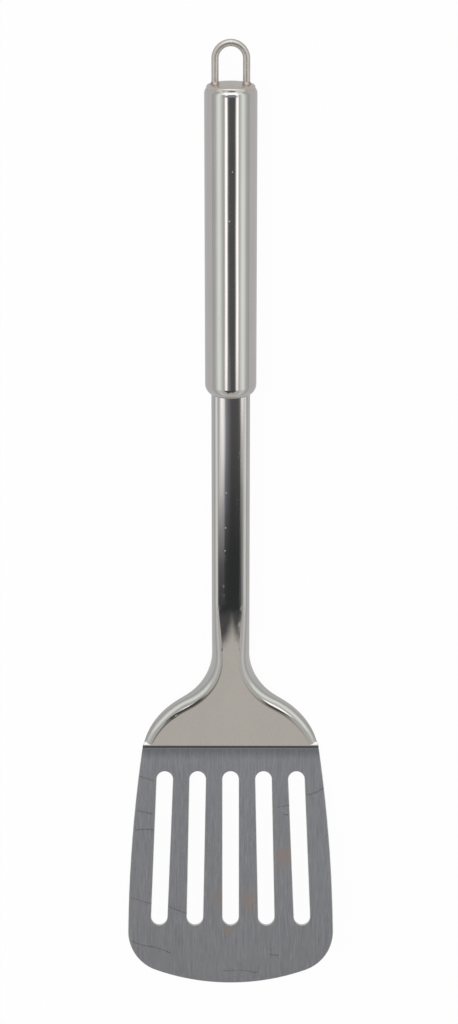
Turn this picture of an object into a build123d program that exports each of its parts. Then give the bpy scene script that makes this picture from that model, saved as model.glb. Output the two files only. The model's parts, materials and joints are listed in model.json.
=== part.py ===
from build123d import *
from math import asin, atan2, cos, hypot, radians, sin, sqrt, tan
import os

# Slotted turner of polished and satin stainless steel, in millimetres
# It lies food side up, as it rests on a table: the grip and the heel of the blade both touch z = 0
# X runs across, +Y runs along the grip towards the hanging loop, +Z is up
# The origin is on the table, in the middle of the length

# Sheet
sheet_thickness = 1.2

# Blade, measured in its own plane from the crease where it meets the neck
blade_length = 89.8
blade_heel_width = 65.7
blade_side_swell = 5.7
widest_to_corner = 2.0
blade_tip_radius = 84.0
blade_corner_radius = 15.5
blade_tilt = 15.0
blade_edge_round = 0.2
bevel_length = 2.6
bevel_depth = 0.7

# Slots, and the bare sheet left round them
slot_count = 5
slot_width = 6.1
bare_heel = 9.35
bare_tip = 22.05
bare_side = 4.1
slot_fan_angle = 1.19

# Stem, a channel with a slightly crowned front, set inside the outline of the grip's mouth
stem_side_gap = 0.2
stem_top_gap = 2.5
stem_depth = 7.0
stem_crown_radius = 17.0
shoulder_radius = 3.1
stem_straight = 78.4
neck_bend_radius = 81.5

# Neck, the flat panel with turned-down sides between the stem and the blade
neck_flat = 43.3
neck_shoulder_radius = 4.0
neck_land = 4.5
flare_straight = 3.2
flare_radius_ratio = 1.6
heel_land = 4.2
heel_side_angle = 23.5
heel_ramp = 0.8
crease_radius = 3.0
crease_land = 0.1

# Grip
handle_diameter = 18.0
handle_length = 107.0
handle_wall = 0.8
mouth_drawn_in = 2.0
mouth_shoulder = 3.5
rim_drawn_in = 0.6
rim_shoulder = 1.6

# Tang, and the bush that holds it in the mouth of the grip
tang_length = 24.0
bush_wall = 0.5
bush_step_gap = 1.5
bush_length = 12.0
bush_clearance = 0.1

# End cap, a pressed cup
cap_step = 0.1
cap_height = 1.3
cap_dome = 0.5
cap_edge_radius = 0.9
cap_skirt = 4.0
cap_wall = 1.0
cap_clearance = 0.05

# Hanging loop and its welds
wire_diameter = 2.45
leg_inset = 1.775
loop_height = 15.2
loop_tail = 2.5
wire_clearance = 0.03
weld_width = 0.5
weld_height = 0.45

# How far a cutting body reaches past what it cuts
overrun = 2.0

os.makedirs("parts", exist_ok=True)

# Sizes worked out from the ones above
handle_radius = handle_diameter / 2
mouth_radius = handle_radius - mouth_drawn_in
rim_radius = handle_radius - rim_drawn_in
cap_radius = rim_radius - cap_step
half_stem = mouth_radius - stem_side_gap
stem_rise = mouth_radius - stem_top_gap
half_heel = blade_heel_width / 2
half_widest = half_heel + blade_side_swell
slot_length = blade_length - bare_heel - bare_tip
slot_middle = bare_heel + slot_length / 2
slot_pitch = (blade_heel_width - slot_width - 2 * bare_side) / (slot_count - 1)
wire_radius = wire_diameter / 2
leg_offset = cap_radius - leg_inset - wire_radius

# The neck's slope brings the sheet down from the top of the stem to the table: the neck's front is
# the crossing tangent of the bend at the stem and the bend at the crease
stem_top = handle_radius + stem_rise
both_bends = neck_bend_radius + crease_radius
centres_rise = both_bends + sheet_thickness - stem_top
slope = atan2(both_bends, neck_flat) - asin(centres_rise / hypot(both_bends, neck_flat))
tilt = radians(blade_tilt)
crease_turn = slope + tilt
crease_setback = crease_radius * tan(crease_turn / 2)
neck_length = neck_flat + crease_setback

# Places along the length, from the loop's far end to the tip of the blade
bend_run = neck_bend_radius * sin(slope)
bend_fall = neck_bend_radius * (1 - cos(slope))
neck_run = neck_length * cos(slope)
blade_run = blade_length * cos(tilt) + (sheet_thickness - bevel_depth) * sin(tilt)
grip_run = handle_length + cap_height + loop_height
mouth_y = (stem_straight + bend_run + neck_run + blade_run - grip_run) / 2
bend_y = mouth_y - stem_straight
neck_y = bend_y - bend_run
neck_z = stem_top - bend_fall
crease_y = neck_y - neck_run
crease_z = neck_z - neck_length * sin(slope)

# The tang is as wide as the bush's narrow nose can hold with a wall left round it
nose_radius = mouth_radius - handle_wall - bush_clearance
half_tang = sqrt((nose_radius - bush_wall) ** 2 - stem_rise**2)

# Planes that carry the sketches
grip_plane = Plane((0, mouth_y, handle_radius), x_dir=(0, 1, 0), z_dir=(1, 0, 0))
grip_axis = Axis((0, mouth_y, handle_radius), (0, 1, 0))
loop_plane = Plane((0, mouth_y, handle_radius), x_dir=(1, 0, 0), z_dir=(0, 0, 1))
mouth_plane = Plane((0, mouth_y, stem_top), x_dir=(1, 0, 0), z_dir=(0, -1, 0))
bend_plane = Plane((0, bend_y, stem_top), x_dir=(1, 0, 0), z_dir=(0, -1, 0))
bend_side = Plane((0, bend_y, stem_top), x_dir=(0, 1, 0), z_dir=(1, 0, 0))
neck_start = Plane((0, neck_y, neck_z), x_dir=(1, 0, 0), z_dir=(0, -cos(slope), -sin(slope)))
neck_plane = Plane((0, neck_y, neck_z), x_dir=(1, 0, 0), z_dir=(0, -sin(slope), cos(slope)))
neck_side = Plane((0, neck_y, neck_z), x_dir=(0, cos(slope), sin(slope)), z_dir=(1, 0, 0))
crease_side = Plane((0, crease_y, crease_z), x_dir=(0, 1, 0), z_dir=(1, 0, 0))
blade_plane = Plane((0, crease_y, crease_z), x_dir=(1, 0, 0), z_dir=(0, sin(tilt), cos(tilt)))


def arc_drop(radius, run):
    """How far a circle falls away from its tangent over a run."""
    return radius - sqrt(radius**2 - run**2)


# The rounded sides are cut off at the sheet's thickness where they reach the blade, so the neck
# is drawn wider by what that cut takes
half_neck = half_heel + arc_drop(neck_shoulder_radius, neck_shoulder_radius - sheet_thickness)

# The stem's sheet goes on past the crease by this much, and the blade starts there
seam = crease_setback + crease_land


def channel(inset, crowned):
    """Section of the channel with its front at y = 0, drawn in by the inset on three sides."""
    half = half_stem - inset
    crown = stem_crown_radius - inset
    corner = -inset - arc_drop(crown, half) if crowned else -inset
    shoulder = shoulder_radius if crowned else neck_shoulder_radius
    with BuildSketch(Plane.XY) as section:
        with BuildLine():
            Polyline((half, corner), (half, -stem_depth), (-half, -stem_depth), (-half, corner))
            if crowned:
                ThreePointArc((-half, corner), (0, -inset), (half, corner))
            else:
                Line((-half, corner), (half, corner))
        make_face()
        fillet(section.vertices().group_by(Axis.Y)[-1], shoulder - inset)
    return section.sketch


def channel_run(inset):
    """The straight stem and its bend, whose front goes from crowned to flat."""
    half_turn = slope / 2
    with BuildPart() as run:
        with BuildSketch(mouth_plane):
            add(channel(inset, True))
        extrude(amount=stem_straight)
        with BuildSketch(bend_plane) as near:
            add(channel(inset, True))
        with BuildSketch(neck_start) as far:
            add(channel(inset, False))
        with BuildLine(bend_side) as bend:
            ThreePointArc(
                (0, 0),
                (-neck_bend_radius * sin(half_turn), -neck_bend_radius * (1 - cos(half_turn))),
                (-bend_run, -bend_fall),
            )
        sweep(sections=[near.sketch, far.sketch], path=bend.line, multisection=True)
    return run.part


def flare_radii():
    """The two radii of the neck's side that leave the wanted straight between them.

    The first circle touches the stem's side and the second the heel's, and the straight is
    their crossing tangent, which gives one quadratic for the first radius.
    """
    side = radians(heel_side_angle)
    across = half_neck - heel_land * sin(side) - half_stem
    along = neck_length - heel_land * cos(side) - neck_land
    bend = 2 * flare_radius_ratio * (1 - cos(side))
    slant = across * (1 + flare_radius_ratio * cos(side)) - along * flare_radius_ratio * sin(side)
    span = across**2 + along**2 - flare_straight**2
    inner = (sqrt(slant**2 + bend * span) - slant) / bend
    return inner, inner * flare_radius_ratio


def neck_outline(reach):
    """Plan of the neck in its own plane, carried on past both ends by the reach."""
    side = radians(heel_side_angle)
    inner, outer = flare_radii()
    across = half_neck - heel_land * sin(side) - outer * cos(side) - half_stem - inner
    along = neck_length - heel_land * cos(side) + outer * sin(side) - neck_land
    flare = atan2(across, along) + atan2(inner + outer, flare_straight)
    end = (half_neck + reach * tan(side), -neck_length - reach)
    inner_corner = inner * tan(flare / 2)
    outer_corner = outer * tan((flare - side) / 2)
    run = inner_corner + flare_straight + outer_corner
    first = (half_stem, -neck_land - inner_corner)
    second = (first[0] + run * sin(flare), first[1] - run * cos(flare))
    with BuildSketch(Plane.XY) as outline:
        with BuildLine():
            FilletPolyline(
                (half_stem, reach), first, second, end, radius=[inner, outer]
            )
            mirror(about=Plane.YZ)
            Line((half_stem, reach), (-half_stem, reach))
            Line(end, (-end[0], end[1]))
        make_face()
    return outline.sketch


def neck_body(plan, inset):
    """The neck's plan carried down from its front, with the front's side edges rounded."""
    with BuildPart() as body:
        with BuildSketch(neck_plane.offset(-inset)):
            add(plan)
        extrude(amount=-stem_depth)
        front = body.faces().sort_by(neck_up)[-1]
        fillet(front.edges().filter_by(Axis.X, reverse=True), neck_shoulder_radius - inset)
    return body.part


def heel_strip():
    """The bend at the crease, across the full width, from the neck's plane to the blade's.

    A short ramp closes it on the neck's side, and shows where the neck's rounded sides drop away.
    Beyond the crease it narrows as the neck's plan does.
    """
    under = sheet_thickness / cos(crease_turn / 2)
    ramp_end = seam + heel_ramp
    reach = ramp_end + overrun
    narrow_end = half_heel - reach * tan(radians(heel_side_angle))
    lean = (slope - tilt) / 2
    with BuildPart() as strip:
        with BuildSketch(crease_side) as profile:
            with BuildLine():
                Polyline(
                    (0, 0),
                    (-seam * cos(tilt), seam * sin(tilt)),
                    (
                        -seam * cos(tilt) - sheet_thickness * sin(tilt),
                        seam * sin(tilt) - sheet_thickness * cos(tilt),
                    ),
                    (under * sin(lean), -under * cos(lean)),
                    (
                        ramp_end * cos(slope) + sheet_thickness * sin(slope),
                        ramp_end * sin(slope) - sheet_thickness * cos(slope),
                    ),
                    (
                        ramp_end * cos(slope) + heel_ramp * sin(slope),
                        ramp_end * sin(slope) - heel_ramp * cos(slope),
                    ),
                    (seam * cos(slope), seam * sin(slope)),
                    close=True,
                )
            make_face()
            fillet(profile.vertices().sort_by_distance((0, 0, 0))[0], crease_radius)
            fillet(profile.vertices().sort_by(Axis.Y)[0], crease_radius + sheet_thickness)
        extrude(amount=half_heel, both=True)
        with BuildSketch(Plane.XY):
            with BuildLine():
                Polyline(
                    (half_heel, crease_y - reach),
                    (half_heel, crease_y),
                    (narrow_end, crease_y + reach),
                    (-narrow_end, crease_y + reach),
                    (-half_heel, crease_y),
                    (-half_heel, crease_y - reach),
                    close=True,
                )
            make_face()
        extrude(amount=stem_depth, both=True, mode=Mode.INTERSECT)
    return strip.part


def tang_section(clearance):
    """Section of the tang, the middle of the stem's front, with room around it."""
    with BuildSketch(Plane.XY) as section:
        add(channel(0, True))
        add(channel(sheet_thickness, True), mode=Mode.SUBTRACT)
        Rectangle(2 * half_tang, 2 * stem_depth, mode=Mode.INTERSECT)
        if clearance > 0:
            offset(amount=clearance)
    return section.sketch


def blade_outline():
    """Plan of the blade in its own plane, from the crease at y = 0 to the tip."""
    corner_y = blade_length - arc_drop(blade_tip_radius, half_widest)
    widest_y = corner_y - widest_to_corner
    side_radius = (widest_y**2 + blade_side_swell**2) / (2 * blade_side_swell)
    corner_x = half_widest - arc_drop(side_radius, corner_y - widest_y)
    with BuildSketch(Plane.XY) as outline:
        with BuildLine():
            Line((half_heel, 0), (-half_heel, 0))
            ThreePointArc((half_heel, 0), (half_widest, -widest_y), (corner_x, -corner_y))
            ThreePointArc((corner_x, -corner_y), (0, -blade_length), (-corner_x, -corner_y))
            ThreePointArc((-corner_x, -corner_y), (-half_widest, -widest_y), (-half_heel, 0))
        make_face()
        lowest = outline.vertices().group_by(Axis.Y)[0]
        fillet(lowest, blade_corner_radius)
    return outline.sketch


def blade_slots():
    """The slots, side by side in a row and each leaning out a little more than the last."""
    with BuildSketch(Plane.XY) as slots:
        for number in range(slot_count):
            from_middle = number - (slot_count - 1) / 2
            lean = from_middle * slot_fan_angle
            with Locations((from_middle * slot_pitch, -slot_middle)):
                SlotOverall(slot_length, slot_width, rotation=lean - 90)
    return slots.sketch


# Blade
with BuildPart() as blade:
    with BuildSketch(blade_plane):
        add(blade_outline())
        add(blade_slots(), mode=Mode.SUBTRACT)
        with Locations((0, 0)):
            Rectangle(2 * half_widest + overrun, 2 * seam, mode=Mode.SUBTRACT)
    extrude(amount=-sheet_thickness)
    blade_up = Axis(blade_plane.origin, blade_plane.z_dir)
    underside = blade.faces().sort_by(blade_up)[0]
    ground_edges = underside.outer_wire().edges().filter_by(Axis.X, reverse=True)
    chamfer(ground_edges, length=bevel_length, length2=bevel_depth, reference=underside)
    food_side = blade.faces().sort_by(blade_up)[-1]
    rim_edges = food_side.edges().filter_by(Axis.X, reverse=True)
    fillet(rim_edges, blade_edge_round)
blade.part.label = "blade"
export_step(blade.part, "parts/blade.step")

# Stem, with the flared neck at one end and the tang at the other
neck_up = Axis(neck_plane.origin, neck_plane.z_dir)

with BuildPart() as stem_channel:
    add(channel_run(0))
    add(channel_run(sheet_thickness), mode=Mode.SUBTRACT)

with BuildPart() as neck:
    add(neck_body(neck_outline(0), 0))
    hollow_plan = offset(neck_outline(overrun), amount=-sheet_thickness, mode=Mode.PRIVATE)
    add(neck_body(hollow_plan, sheet_thickness), mode=Mode.SUBTRACT)
    # the sides turn down less and less towards the blade, and end where the bend's strip begins
    with BuildSketch(neck_side):
        with BuildLine():
            Polyline(
                (overrun, -stem_depth),
                (0, -stem_depth),
                (seam - neck_length, -sheet_thickness),
                (seam - neck_length, overrun),
                (-neck_length - overrun, overrun),
                (-neck_length - overrun, -stem_depth - overrun),
                (overrun, -stem_depth - overrun),
                close=True,
            )
        make_face()
    extrude(amount=half_neck + overrun, both=True, mode=Mode.SUBTRACT)

with BuildPart() as stem:
    add(stem_channel.part)
    add(neck.part)
    add(heel_strip())
    with BuildSketch(mouth_plane):
        add(tang_section(0))
    extrude(amount=-tang_length)
stem.part.label = "stem"
export_step(stem.part, "parts/stem.step")

# Grip, a tube drawn in at both ends
with BuildPart() as handle_tube:
    with BuildSketch(grip_plane):
        with BuildLine():
            mouth_arc = TangentArc(
                (mouth_shoulder, handle_radius), (0, mouth_radius), tangent=(-1, 0)
            )
            rim_arc = TangentArc(
                (handle_length - rim_shoulder, handle_radius),
                (handle_length, rim_radius),
                tangent=(1, 0),
            )
            Line(mouth_arc @ 0, rim_arc @ 0)
            mouth_bore = TangentArc(
                (mouth_shoulder, handle_radius - handle_wall),
                (0, mouth_radius - handle_wall),
                tangent=(-1, 0),
            )
            rim_bore = TangentArc(
                (handle_length - rim_shoulder, handle_radius - handle_wall),
                (handle_length, rim_radius - handle_wall),
                tangent=(1, 0),
            )
            Line(mouth_bore @ 0, rim_bore @ 0)
            Line(mouth_arc @ 1, mouth_bore @ 1)
            Line(rim_arc @ 1, rim_bore @ 1)
        make_face()
    revolve(axis=grip_axis)
handle_tube.part.label = "handle_tube"
export_step(handle_tube.part, "parts/handle_tube.step")

# Bush, stepped so that it can't be pulled out through the mouth
bush_nose = mouth_shoulder + bush_step_gap
bush_radius = handle_radius - handle_wall - bush_clearance
with BuildPart() as tang_bush:
    with BuildSketch(grip_plane):
        with BuildLine():
            Polyline(
                (0, 0),
                (0, nose_radius),
                (bush_nose, nose_radius),
                (bush_nose, bush_radius),
                (bush_length, bush_radius),
                (bush_length, 0),
                close=True,
            )
        make_face()
    revolve(axis=grip_axis)
    with BuildSketch(mouth_plane.offset(overrun)):
        add(tang_section(bush_clearance))
    extrude(amount=-bush_length - 2 * overrun, mode=Mode.SUBTRACT)
tang_bush.part.label = "tang_bush"
export_step(tang_bush.part, "parts/tang_bush.step")

# End cap, a domed cup whose skirt sits in the rim of the grip
skirt_radius = rim_radius - handle_wall - cap_clearance
dome_radius = cap_radius - cap_edge_radius
dome_curve = (dome_radius**2 + cap_dome**2) / (2 * cap_dome)
face_x = handle_length + cap_height
edge_x = face_x - cap_edge_radius
with BuildPart() as end_cap:
    with BuildSketch(grip_plane):
        with BuildLine():
            Polyline(
                (face_x + cap_dome, 0),
                (face_x - cap_wall, 0),
                (face_x - cap_wall, skirt_radius - cap_wall),
                (handle_length - cap_skirt, skirt_radius - cap_wall),
                (handle_length - cap_skirt, skirt_radius),
                (handle_length, skirt_radius),
                (handle_length, cap_radius),
                (edge_x, cap_radius),
            )
            TangentArc((edge_x, cap_radius), (face_x, dome_radius), tangent=(1, 0))
            ThreePointArc(
                (face_x, dome_radius),
                (face_x + cap_dome - arc_drop(dome_curve, dome_radius / 2), dome_radius / 2),
                (face_x + cap_dome, 0),
            )
        make_face()
    revolve(axis=grip_axis)
    with BuildSketch(loop_plane.rotated((-90, 0, 0))):
        with Locations((-leg_offset, 0), (leg_offset, 0)):
            Circle(wire_radius + wire_clearance)
    extrude(amount=handle_length + cap_height + cap_dome + overrun, mode=Mode.SUBTRACT)
end_cap.part.label = "end_cap"
export_step(end_cap.part, "parts/end_cap.step")

# Hanging loop, one bent wire
arch_y = face_x + loop_height - wire_radius - leg_offset
tail_y = handle_length - loop_tail
with BuildPart() as hanging_loop:
    with BuildLine(loop_plane) as wire:
        Line((-leg_offset, tail_y), (-leg_offset, arch_y))
        ThreePointArc(
            (-leg_offset, arch_y), (0, arch_y + leg_offset), (leg_offset, arch_y)
        )
        Line((leg_offset, arch_y), (leg_offset, tail_y))
    with BuildSketch(Plane(wire.line @ 0, z_dir=wire.line % 0)):
        Circle(wire_radius)
    sweep(path=wire.line)
hanging_loop.part.label = "hanging_loop"
export_step(hanging_loop.part, "parts/hanging_loop.step")

# Welds, a small hollow fillet round each leg where it enters the cap
with BuildPart() as loop_welds:
    weld_inner = wire_radius + wire_clearance
    with BuildSketch(loop_plane):
        with BuildLine():
            Polyline(
                (leg_offset + weld_inner, face_x + cap_dome + weld_height),
                (leg_offset + weld_inner, face_x - cap_dome),
                (leg_offset + weld_inner + weld_width, face_x - cap_dome),
                (leg_offset + weld_inner + weld_width, face_x),
                close=True,
            )
        make_face()
    leg_axis = Axis(loop_plane.from_local_coords((leg_offset, 0, 0)), (0, 1, 0))
    revolve(axis=leg_axis)
    mirror(about=Plane.YZ)
    add(end_cap.part, mode=Mode.SUBTRACT)
loop_welds.part.label = "loop_welds"
export_step(loop_welds.part, "parts/loop_welds.step")
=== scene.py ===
import json
from math import cos, degrees, radians, sin

import bpy
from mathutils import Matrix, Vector

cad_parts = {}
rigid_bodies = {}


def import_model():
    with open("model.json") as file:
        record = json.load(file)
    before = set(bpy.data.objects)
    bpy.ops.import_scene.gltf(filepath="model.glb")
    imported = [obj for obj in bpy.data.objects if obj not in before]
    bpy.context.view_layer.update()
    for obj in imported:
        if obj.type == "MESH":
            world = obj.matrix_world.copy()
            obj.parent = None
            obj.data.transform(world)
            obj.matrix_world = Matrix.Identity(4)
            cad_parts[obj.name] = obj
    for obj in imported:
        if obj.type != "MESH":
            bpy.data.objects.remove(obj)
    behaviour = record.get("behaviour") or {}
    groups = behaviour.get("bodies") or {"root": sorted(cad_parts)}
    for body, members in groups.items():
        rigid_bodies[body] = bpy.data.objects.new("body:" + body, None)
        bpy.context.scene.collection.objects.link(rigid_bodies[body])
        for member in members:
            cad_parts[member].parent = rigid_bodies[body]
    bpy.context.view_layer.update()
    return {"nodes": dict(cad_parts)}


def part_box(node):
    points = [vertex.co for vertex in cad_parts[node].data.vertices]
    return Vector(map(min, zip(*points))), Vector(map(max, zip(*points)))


# Clear what Blender starts with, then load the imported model
for thing in list(bpy.data.objects):
    bpy.data.objects.remove(thing)
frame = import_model()
nodes = frame["nodes"]
scene = bpy.context.scene
scene.view_settings.view_transform = "Standard"

# Places on the object in millimetres. The blade rises from the crease towards its tip
MM = 1000.0
BLADE_TILT = radians(15.0)
CREASE_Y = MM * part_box("blade")[1][1]
CREASE_Z = 1.0
HANDLE_AXIS_Z = 9.0

# Camera, found from the photograph's proportions
IMAGE_WIDTH = 458
IMAGE_HEIGHT = 1024
FOCAL_PIXELS = 2450.0
AIM = Vector((-0.0006, 0.0074, 0.009))
AIM_DISTANCE = 0.875
LOOK_TILT = radians(19.6)
CAMERA_BACK = Vector((0, sin(LOOK_TILT), cos(LOOK_TILT)))
CAMERA_UP = Vector((0, cos(LOOK_TILT), -sin(LOOK_TILT)))
CAMERA_PLACE = AIM + AIM_DISTANCE * CAMERA_BACK
SENSOR_HEIGHT = 24.0


# Small helpers for node trees
class Tree:
    """Adds nodes to one node tree and links them."""

    def __init__(self, tree):
        self.tree = tree
        self.tree.nodes.clear()

    def node(self, kind, **values):
        made = self.tree.nodes.new(kind)
        for name, value in values.items():
            setattr(made, name, value)
        return made

    def put(self, socket, value):
        """Links a socket, sets a plain value or leaves the socket alone."""
        if isinstance(value, bpy.types.NodeSocket):
            self.tree.links.new(value, socket)
        elif value is not None:
            socket.default_value = value

    def fill(self, made, *values):
        """Puts values into a node's first sockets, in order."""
        for socket, value in zip(made.inputs, values):
            self.put(socket, value)
        return made

    def math(self, operation, first, second=None, third=None):
        made = self.node("ShaderNodeMath", operation=operation)
        return self.fill(made, first, second, third).outputs[0]

    def add(self, first, second):
        return self.math("ADD", first, second)

    def times(self, first, second):
        return self.math("MULTIPLY", first, second)

    def layered(self, base, *layers):
        """A base value with a share of each mask added to it."""
        for share, mask in layers:
            base = self.math("MULTIPLY_ADD", mask, share, base)
        return base

    def vector(self, operation, first, second=None, scale=None):
        """A vector operation. The third socket, another vector, is left alone."""
        made = self.node("ShaderNodeVectorMath", operation=operation)
        self.fill(made, first, second, None, scale)
        name = "Value" if operation in ("DOT_PRODUCT", "LENGTH", "DISTANCE") else "Vector"
        return made.outputs[name]

    def smooth(self, value, low, high, low_to=0.0, high_to=1.0):
        """A smooth step from low to high."""
        made = self.node("ShaderNodeMapRange", interpolation_type="SMOOTHSTEP")
        return self.fill(made, value, low, high, low_to, high_to).outputs["Result"]

    def mix(self, factor, first, second, blend="MIX"):
        """Mixes two colours, whose sockets are 6 and 7 and whose result is output 2."""
        made = self.node("ShaderNodeMix", data_type="RGBA", blend_type=blend)
        self.put(made.inputs["Factor"], factor)
        self.put(made.inputs[6], first)
        self.put(made.inputs[7], second)
        return made.outputs[2]

    def split(self, vector):
        return self.fill(self.node("ShaderNodeSeparateXYZ"), vector).outputs

    def join(self, x, y, z):
        return self.fill(self.node("ShaderNodeCombineXYZ"), x, y, z).outputs[0]

    def noise(self, vector, scales, detail=2.0, roughness=0.5):
        """Noise from -1 to 1, most of it within a half, with its scale along each axis."""
        stretch = self.node("ShaderNodeMapping")
        self.put(stretch.inputs["Vector"], vector)
        self.put(stretch.inputs["Scale"], scales)
        made = self.node("ShaderNodeTexNoise")
        self.put(made.inputs["Vector"], stretch.outputs["Vector"])
        self.put(made.inputs["Scale"], 1.0)
        self.put(made.inputs["Detail"], detail)
        self.put(made.inputs["Roughness"], roughness)
        return self.layered(-1.0, (2.0, made.outputs["Fac"]))

    def place(self):
        """Where a point is on the object, in millimetres."""
        return self.vector("SCALE", self.node("ShaderNodeTexCoord").outputs["Object"], scale=MM)

    def bump(self, height, distance_mm):
        made = self.node("ShaderNodeBump")
        self.put(made.inputs["Strength"], 1.0)
        self.put(made.inputs["Distance"], distance_mm / MM)
        self.put(made.inputs["Height"], height)
        return made.outputs["Normal"]

    def spot(self, point, middle, radius):
        """1 at a place, fading to 0 at its radius."""
        return self.smooth(self.vector("DISTANCE", point, middle), radius, 0.0)

    def line(self, point, start, end, width):
        """1 on the line between two places, fading to 0 at its width."""
        run = Vector(end) - Vector(start)
        away = self.vector("SUBTRACT", point, start)
        share = self.vector("DOT_PRODUCT", away, tuple(run / run.length_squared))
        share = self.math("MINIMUM", self.math("MAXIMUM", share, 0.0), 1.0)
        nearest = self.vector("SCALE", tuple(run), scale=share)
        return self.smooth(self.vector("DISTANCE", away, nearest), width, 0.0)

    def most(self, masks):
        """The strongest of several masks."""
        total = masks[0]
        for mask in masks[1:]:
            total = self.math("MAXIMUM", total, mask)
        return total

    def rays(self):
        """Masks of the camera's own rays and of those mirrored in metal or seen through glass."""
        path = self.node("ShaderNodeLightPath").outputs
        mirrored = self.math("MAXIMUM", path["Is Glossy Ray"], path["Is Transmission Ray"])
        return path["Is Camera Ray"], mirrored

    def shade(self, kind, color, strength=None):
        """A shader of one kind with its colour, and a strength where it has one."""
        made = self.node(kind)
        self.put(made.inputs["Color"], color)
        if strength is not None:
            self.put(made.inputs["Strength"], strength)
        return made.outputs[0]

    def mix_shaders(self, factor, first, second):
        return self.fill(self.node("ShaderNodeMixShader"), factor, first, second).outputs[0]


def grey(level, warmth=0.0):
    """A grey of the given linear level, warmer or cooler by a small share."""
    return (level * (1 + warmth), level, level * (1 - warmth), 1.0)


WHITE = grey(1.0)

# World: white to the camera, plain light on the object, and a studio for reflections
DIFFUSE_LEVEL = 0.75
FILL = grey(0.58, 0.025)
HORIZON = grey(0.50, 0.025)
SOFT_BOX = (1.06, 1.10, 0.99, 1.0)
SOFT_BOX_AHEAD = (0.77, 0.79, 0.74, 1.0)
STRIP = (1.78, 1.70, 1.64, 1.0)
CARD = (0.115, 0.111, 0.109, 1.0)
DEEP_CARD = (0.036, 0.037, 0.038, 1.0)
CARD_END = grey(0.09, 0.02)
CARD_SHEEN = (0.335, 0.345, 0.385, 1.0)
SKY_NEAR_TOP = (0.322, 0.328, 0.353, 1.0)
SKY_OVER_TIP = (0.260, 0.265, 0.286, 1.0)
FRONT_WALL = (0.66, 0.615, 0.555, 1.0)
BACK_LIGHT = grey(1.6)

# Where the studio's pieces are, in degrees: around goes from straight up towards +X, ahead towards
# the blade's tip. A middle is an angle around, and a size is the half width around it and the
# softness of the edge. Every other pair is a fade, from the angle where a piece or colour isn't
# there yet to the one where it is full
HORIZON_FADE = (70, 92)
SOFT_BOX_MIDDLES = (-53, 55)
SOFT_BOX_SIZE = (11, 10)
SOFT_BOX_CHANGE = (15, 26)
STRIP_SIZE = (5, 3)
RIGHT_STRIP_MIDDLE = 29
RIGHT_STRIP_FADE = (18.5, 15.5)
LEFT_STRIP_MIDDLE = -20
LEFT_STRIP_FADE = (21.5, 14.9)
WALL_FADE = (27, 37)
WALL_SIDES = (32, 20)
CARD_EDGE_SOFTNESS = 4
CARD_END_MIDDLE = 3.0
CARD_END_SLOPE = -0.8
CARD_END_FADE = (44, 23)
SHEEN_FADE = (16, 17)
SHEEN_SIDE = (4, -12)
DEEP_CARD_FADE = (17.2, 20.8)
CARD_END_CHANGE = (23, 29)
OVER_BLADE_SIZE = (28, 14)
OVER_BLADE_FRONT = (7, 2)
OVER_BLADE_BACK = (-24, -18)
OVER_TIP_CHANGE = (-3.5, 1.5)
BACK_LIGHT_FADE = (-27, -33)
BACK_LIGHT_SIDES = (48, 36)

# Each edge of the dark card shifts between two angles ahead: first these, then the angles around
# that it has there. A narrowing shifts the edge further towards the middle
CARD_LEFT = (17.6, 20.5, -12, -28)
CARD_LEFT_NARROWING = (26, 38, 0, 10)
CARD_RIGHT = (16, 19, 20, 25)
CARD_RIGHT_NARROWING = (24, 35, 0, -9)


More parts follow.
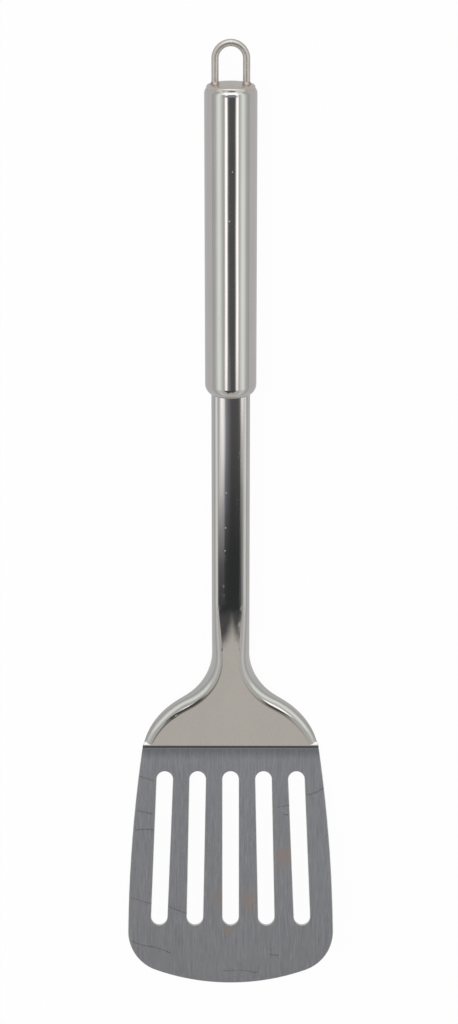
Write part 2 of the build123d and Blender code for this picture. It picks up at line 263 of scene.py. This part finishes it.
def build_world():
    world = bpy.data.worlds.new("studio")
    scene.world = world
    world.use_nodes = True
    t = Tree(world.node_tree)
    x, y, z = t.split(t.node("ShaderNodeTexCoord").outputs["Generated"])
    around = t.times(t.math("ARCTAN2", x, z), degrees(1.0))
    aside = t.math("ABSOLUTE", around)
    ahead = t.times(t.math("ARCSINE", t.times(y, -1.0)), degrees(1.0))

    def band(middle, half_width, softness):
        """1 inside a strip of the sky that runs along Y, 0 outside it."""
        away = t.math("ABSOLUTE", t.math("SUBTRACT", around, middle))
        return t.smooth(away, half_width + softness, max(half_width - softness, 0.0))

    def strip(color, middle, fade):
        """The sky with a strip light added to it."""
        return t.mix(t.times(band(middle, *STRIP_SIZE), t.smooth(ahead, *fade)), color, STRIP)

    # soft boxes and a strip light at the sides
    color = t.mix(t.smooth(aside, *HORIZON_FADE), FILL, HORIZON)
    soft_box = t.mix(t.smooth(ahead, *SOFT_BOX_CHANGE), SOFT_BOX, SOFT_BOX_AHEAD)
    for middle in SOFT_BOX_MIDDLES:
        color = t.mix(band(middle, *SOFT_BOX_SIZE), color, soft_box)
    color = strip(color, RIGHT_STRIP_MIDDLE, RIGHT_STRIP_FADE)

    # the wall in front of the neck
    wall = t.times(t.smooth(ahead, *WALL_FADE), t.smooth(aside, *WALL_SIDES))
    color = t.mix(wall, color, FRONT_WALL)

    # the dark card above, with shaped edges and a blue sheen on one side of its near end
    left = t.add(t.smooth(ahead, *CARD_LEFT), t.smooth(ahead, *CARD_LEFT_NARROWING))
    right = t.add(t.smooth(ahead, *CARD_RIGHT), t.smooth(ahead, *CARD_RIGHT_NARROWING))
    past_left = t.math("SUBTRACT", around, left)
    past_right = t.math("SUBTRACT", around, right)
    inside = t.smooth(past_left, -CARD_EDGE_SOFTNESS, CARD_EDGE_SOFTNESS)
    inside = t.times(inside, t.smooth(past_right, CARD_EDGE_SOFTNESS, -CARD_EDGE_SOFTNESS))
    off_middle = t.math("ABSOLUTE", t.math("SUBTRACT", around, CARD_END_MIDDLE))
    end = t.smooth(t.layered(ahead, (CARD_END_SLOPE, off_middle)), *CARD_END_FADE)
    inside = t.times(inside, end)
    sheen = t.times(t.smooth(ahead, *SHEEN_FADE), t.smooth(around, *SHEEN_SIDE))
    card = t.mix(sheen, CARD, CARD_SHEEN)
    card = t.mix(t.smooth(ahead, *DEEP_CARD_FADE), card, DEEP_CARD)
    card = t.mix(t.smooth(ahead, *CARD_END_CHANGE), card, CARD_END)
    color = t.mix(inside, color, card)
    color = strip(color, LEFT_STRIP_MIDDLE, LEFT_STRIP_FADE)

    # behind the card, over the blade, and the light low behind
    over_blade = t.times(band(0, *OVER_BLADE_SIZE), t.smooth(ahead, *OVER_BLADE_FRONT))
    over_blade = t.times(over_blade, t.smooth(ahead, *OVER_BLADE_BACK))
    sky = t.mix(t.smooth(ahead, *OVER_TIP_CHANGE), SKY_NEAR_TOP, SKY_OVER_TIP)
    color = t.mix(over_blade, color, sky)
    low_behind = t.times(t.smooth(ahead, *BACK_LIGHT_FADE), t.smooth(aside, *BACK_LIGHT_SIDES))
    color = t.mix(low_behind, color, BACK_LIGHT)

    from_camera, mirrored = t.rays()
    plain = t.shade("ShaderNodeBackground", WHITE, DIFFUSE_LEVEL)
    studio = t.shade("ShaderNodeBackground", color)
    on_object = t.mix_shaders(mirrored, plain, studio)
    seen = t.mix_shaders(from_camera, on_object, t.shade("ShaderNodeBackground", WHITE))
    t.fill(t.node("ShaderNodeOutputWorld"), seen)


build_world()


# Floor
FLOOR_HALF = 3.0
FLOOR_COLOR = grey(0.85)
FLOOR_WHITE_TO_CAMERA = 0.96
FLOOR_SHARE_TO_GLOSS = 0.80
FLOOR_IN_REFLECTIONS = grey(0.60, 0.025)


def build_floor():
    mesh = bpy.data.meshes.new("floor")
    corners = [(-1, -1), (1, -1), (1, 1), (-1, 1)]
    mesh.from_pydata([(FLOOR_HALF * a, FLOOR_HALF * b, 0.0) for a, b in corners], [], [(0, 1, 2, 3)])
    floor = bpy.data.objects.new("floor", mesh)
    scene.collection.objects.link(floor)
    material = bpy.data.materials.new("floor_white")
    material.use_nodes = True
    t = Tree(material.node_tree)
    from_camera, mirrored = t.rays()
    diffuse = t.shade("ShaderNodeBsdfDiffuse", FLOOR_COLOR)
    white = t.shade("ShaderNodeEmission", WHITE)
    pale = t.shade("ShaderNodeEmission", FLOOR_IN_REFLECTIONS)
    seen = t.mix_shaders(t.times(from_camera, FLOOR_WHITE_TO_CAMERA), diffuse, white)
    seen = t.mix_shaders(t.times(mirrored, FLOOR_SHARE_TO_GLOSS), seen, pale)
    t.fill(t.node("ShaderNodeOutputMaterial"), seen)
    mesh.materials.append(material)


build_floor()


# Lamp
def build_lamp(name, place, size, power):
    data = bpy.data.lights.new(name, "AREA")
    data.shape = "DISK"
    data.size = size
    data.energy = power
    lamp = bpy.data.objects.new(name, data)
    lamp.location = place
    toward = -Vector(place)
    lamp.rotation_euler = toward.to_track_quat("-Z", "Y").to_euler()
    lamp.visible_glossy = False
    scene.collection.objects.link(lamp)


build_lamp("key", place=(-0.7, 0.5, 1.4), size=1.0, power=7.0)


# Materials
STEEL = grey(0.60)
STAIN_BROWN = (0.74, 0.58, 0.47, 1.0)
SPECK_WHITE = grey(0.95)


def start(name):
    """A bare metal with its tree and shader."""
    material = bpy.data.materials.new(name)
    material.use_nodes = True
    t = Tree(material.node_tree)
    shader = t.node("ShaderNodeBsdfPrincipled")
    shader.inputs["Metallic"].default_value = 1.0
    t.fill(t.node("ShaderNodeOutputMaterial"), shader.outputs[0])
    return material, t, shader


def tinted(t, base, brightness):
    """A base colour made lighter or darker by a factor."""
    return t.mix(1.0, base, t.join(brightness, brightness, brightness), "MULTIPLY")


# Marks, read as pixels of the photograph and put where the camera's ray meets the surface
def seen_at(pixel, point, normal):
    """Where the ray through a pixel meets a plane, in mm."""
    across = (pixel[0] - IMAGE_WIDTH / 2) / FOCAL_PIXELS
    up = (IMAGE_HEIGHT / 2 - pixel[1]) / FOCAL_PIXELS
    ray = across * Vector((1, 0, 0)) + up * CAMERA_UP - CAMERA_BACK
    reach = (point - CAMERA_PLACE).dot(normal) / ray.dot(normal)
    return MM * (CAMERA_PLACE + reach * ray)


def on_blade(pixel):
    """Place across the blade and from the crease, in mm."""
    crease = Vector((0, CREASE_Y / MM, CREASE_Z / MM))
    place = seen_at(pixel, crease, Vector((0, sin(BLADE_TILT), cos(BLADE_TILT))))
    return (place.x, (CREASE_Y - place.y) / cos(BLADE_TILT), 0.0)


def on_top(name, pixel):
    """Place across and along a level piece, in mm."""
    top = Vector((0, 0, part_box(name)[1][2]))
    place = seen_at(pixel, top, Vector((0, 0, 1)))
    return (place.x, place.y, 0.0)


# Marks of the blade as pixels, with radii and widths in mm, followed by a spot of painted shade and
# painted shade along the crease
SCRATCHES = [
    ((132, 898), (151, 904)),
    ((169, 905), (186, 913)),
    ((133, 941), (171, 953)),
    ((139, 776), (154, 779)),
    ((138, 810), (152, 814)),
    ((136, 829), (153, 829)),
    ((278, 807), (289, 805)),
    ((284, 814), (289, 814)),
    ((307, 794), (323, 788)),
    ((270, 954), (278, 954)),
    ((224, 971), (258, 971)),
]
SCRATCH_WIDTH = 0.45
SCRATCH_BEND = 1.6
STAINS = [((284, 857), 6.5), ((249, 900), 6.0), ((229, 929), 3.5), ((220, 898), 5.0)]
STAIN_SHARE = 0.70
# painted shade: a dark spot in the corner where the neck's panel meets the blade at the crease
PAINTED_CORNER_SHADE_SPOT = ((154, 745), 1.6)
# painted shade: the blade darker along the crease, fading out over a few mm
SEAM_SHADE = 0.68
SEAM_SHADE_REACH = 4.8


def blade_satin():
    material, t, shader = start("blade_satin")
    mm = t.place()
    x, y, _ = t.split(mm)
    from_crease = t.times(t.math("SUBTRACT", CREASE_Y, y), 1 / cos(BLADE_TILT))
    flat = t.join(x, from_crease, 0.0)

    # brushed along the blade, in coarse and fine lines
    coarse = t.noise(mm, (1.4, 0.03, 0.03), detail=3.0, roughness=0.7)
    fine = t.noise(mm, (3.4, 0.18, 0.18), detail=3.0, roughness=0.65)
    cloud = t.noise(mm, (0.03, 0.02, 0.02))
    nicks = t.smooth(t.noise(mm, (2.6, 0.09, 0.09), detail=1.0), 0.46, 0.62)

    # single scratches, slightly bent, stains between the slots, and a spot of painted shade in the
    # corner at the seam
    bend = t.noise(flat, (0.09, 0.09, 0.0), detail=1.0)
    bent = t.vector("ADD", flat, t.join(0.0, t.times(bend, SCRATCH_BEND), 0.0))
    scratch = t.most([t.line(bent, on_blade(a), on_blade(b), SCRATCH_WIDTH) for a, b in SCRATCHES])
    scratch = t.times(scratch, t.smooth(t.noise(flat, (0.8, 0.8, 0.0)), -0.5, 0.1, 0.3, 1.0))
    stains = t.most([t.spot(flat, on_blade(at), radius) for at, radius in STAINS])
    stains = t.times(stains, t.smooth(t.noise(flat, (0.5, 0.22, 0.0)), -0.7, 0.2))
    painted_corner_shade = t.spot(flat, on_blade(PAINTED_CORNER_SHADE_SPOT[0]), PAINTED_CORNER_SHADE_SPOT[1])

    brushing = t.layered(1.0, (0.13, coarse), (0.30, fine), (0.05, cloud))
    brightness = t.layered(brushing, (-0.48, scratch), (0.10, nicks), (-0.5, painted_corner_shade))
    # painted shade: the blade darker towards the crease, where the neck meets it
    painted_seam_shade = t.smooth(from_crease, 0.0, SEAM_SHADE_REACH, SEAM_SHADE, 1.0)
    color = tinted(t, STEEL, t.times(brightness, painted_seam_shade))
    color = t.mix(t.times(stains, STAIN_SHARE), color, STAIN_BROWN)
    t.put(shader.inputs["Base Color"], color)
    t.put(shader.inputs["Roughness"], t.layered(0.23, (0.06, fine), (0.12, scratch)))
    shader.inputs["Anisotropic"].default_value = 0.5
    t.put(shader.inputs["Tangent"], t.join(1.0, 0.0, 0.0))
    t.put(shader.inputs["Normal"], t.bump(t.layered(fine, (-1.0, scratch)), distance_mm=0.004))
    return material


# Marks of the stem and the grip as pixels, with radii and widths in mm
STEM_SPECKS = [((226.5, 493), 0.45), ((225.5, 528), 0.40), ((225, 551), 0.40), ((229, 651), 0.35)]
STEM_TRAILS = [((226.5, 491), (225, 560)), ((236.5, 492), (237, 537)), ((224, 647), (236, 649))]
STEM_SMUDGES = [((240, 455), 5.0), ((222, 590), 4.0)]
GRIP_SPECKS = [((232.5, 172), 0.45), ((229.5, 221.5), 0.45)]
GRIP_TRAILS = [((217, 315), (219, 332)), ((230, 168), (231, 230))]
GRIP_SMUDGES = [((217, 321), 3.5), ((244, 265), 4.0)]
TRAIL_WIDTH = 1.0
TRAIL_SHARE = 0.55
UPPER_SIDE_FADE = 2.0


def polished(name, node, specks, trails, smudges):
    """Polished sheet or tube with the fine wear of use and washing."""
    material, t, shader = start(name)
    mm = t.place()
    x, y, z = t.split(mm)
    flat = t.join(x, y, 0.0)
    upper = t.smooth(z, HANDLE_AXIS_Z, HANDLE_AXIS_Z + UPPER_SIDE_FADE)

    # lines and wear along the piece
    lines = t.noise(mm, (3.2, 0.03, 3.2), detail=3.0, roughness=0.6)
    cloud = t.noise(mm, (0.11, 0.05, 0.11), detail=3.0)
    wear = t.smooth(t.noise(mm, (1.7, 0.12, 1.7)), 0.42, 0.60)
    ripple = t.noise(mm, (0.25, 0.04, 0.25), detail=1.0)

    # specks, broken trails of them and smudges, on the upper side alone
    speck = t.most([t.spot(flat, on_top(node, at), radius) for at, radius in specks])
    trail = t.most([t.line(flat, on_top(node, a), on_top(node, b), TRAIL_WIDTH) for a, b in trails])
    trail = t.times(trail, t.smooth(t.noise(mm, (3.2, 1.8, 3.2), detail=3.0), 0.15, 0.55))
    speck = t.times(t.math("MAXIMUM", speck, t.times(trail, TRAIL_SHARE)), upper)
    smudge = t.most([t.spot(flat, on_top(node, at), radius) for at, radius in smudges])
    smudge = t.times(smudge, upper)
    smudge = t.times(smudge, t.smooth(t.noise(mm, (0.9, 0.5, 0.9), detail=3.0), 0.05, 0.5))

    brightness = t.layered(1.0, (0.07, lines), (0.05, cloud), (0.05, wear))
    rough = t.layered(0.08, (0.02, cloud), (0.05, wear), (0.14, smudge), (0.4, speck))
    t.put(shader.inputs["Base Color"], t.mix(speck, tinted(t, STEEL, brightness), SPECK_WHITE))
    t.put(shader.inputs["Roughness"], rough)
    t.put(shader.inputs["Normal"], t.bump(t.layered(lines, (6.0, ripple)), distance_mm=0.0016))
    return material


def satin(name, base, roughness):
    """Satin metal with a fine even grain and a few rubbed places."""
    material, t, shader = start(name)
    mm = t.place()
    grain = t.noise(mm, (6.0, 6.0, 6.0), detail=3.0, roughness=0.6)
    cloud = t.noise(mm, (0.35, 0.35, 0.35))
    rubbed = t.smooth(t.noise(mm, (1.3, 1.3, 1.3)), 0.35, 0.60)
    brightness = t.layered(1.0, (0.05, grain), (0.08, cloud), (0.08, rubbed))
    t.put(shader.inputs["Base Color"], tinted(t, base, brightness))
    t.put(shader.inputs["Roughness"], t.layered(roughness, (0.05, grain), (-0.08, rubbed)))
    t.put(shader.inputs["Normal"], t.bump(grain, distance_mm=0.0025))
    return material


def turned(name, base, roughness):
    """A turned face and side, with rings about the grip's axis."""
    material, t, shader = start(name)
    x, y, z = t.split(t.place())
    out = t.vector("LENGTH", t.join(x, t.math("SUBTRACT", z, HANDLE_AXIS_Z), 0.0))
    rings = t.noise(t.join(out, y, 0.0), (5.0, 5.0, 1.0))
    t.put(shader.inputs["Base Color"], tinted(t, base, t.layered(1.0, (0.15, rings))))
    t.put(shader.inputs["Roughness"], t.layered(roughness, (0.08, rings)))
    t.put(shader.inputs["Normal"], t.bump(rings, distance_mm=0.01))
    return material


looks = {
    "blade": blade_satin(),
    "stem": polished("stem_polished", "stem", STEM_SPECKS, STEM_TRAILS, STEM_SMUDGES),
    "handle_tube": polished("grip_polished", "handle_tube", GRIP_SPECKS, GRIP_TRAILS, GRIP_SMUDGES),
    "end_cap": satin("cap_satin", base=(0.64, 0.61, 0.58, 1.0), roughness=0.29),
    "hanging_loop": satin("wire_satin", base=(0.64, 0.61, 0.585, 1.0), roughness=0.36),
    "loop_welds": satin("weld_bead", base=(0.45, 0.39, 0.36, 1.0), roughness=0.36),
    "tang_bush": turned("bush_turned", base=grey(0.55), roughness=0.38),
}
for name, material in looks.items():
    nodes[name].material_slots[0].material = material


# Camera
def build_camera():
    data = bpy.data.cameras.new("camera")
    data.sensor_fit = "VERTICAL"
    data.sensor_height = SENSOR_HEIGHT
    data.lens = SENSOR_HEIGHT * FOCAL_PIXELS / IMAGE_HEIGHT
    data.clip_start = 0.01
    data.clip_end = 20.0
    camera = bpy.data.objects.new("camera", data)
    camera.location = CAMERA_PLACE
    camera.rotation_euler = (-LOOK_TILT, 0, 0)
    scene.collection.objects.link(camera)
    scene.camera = camera


build_camera()
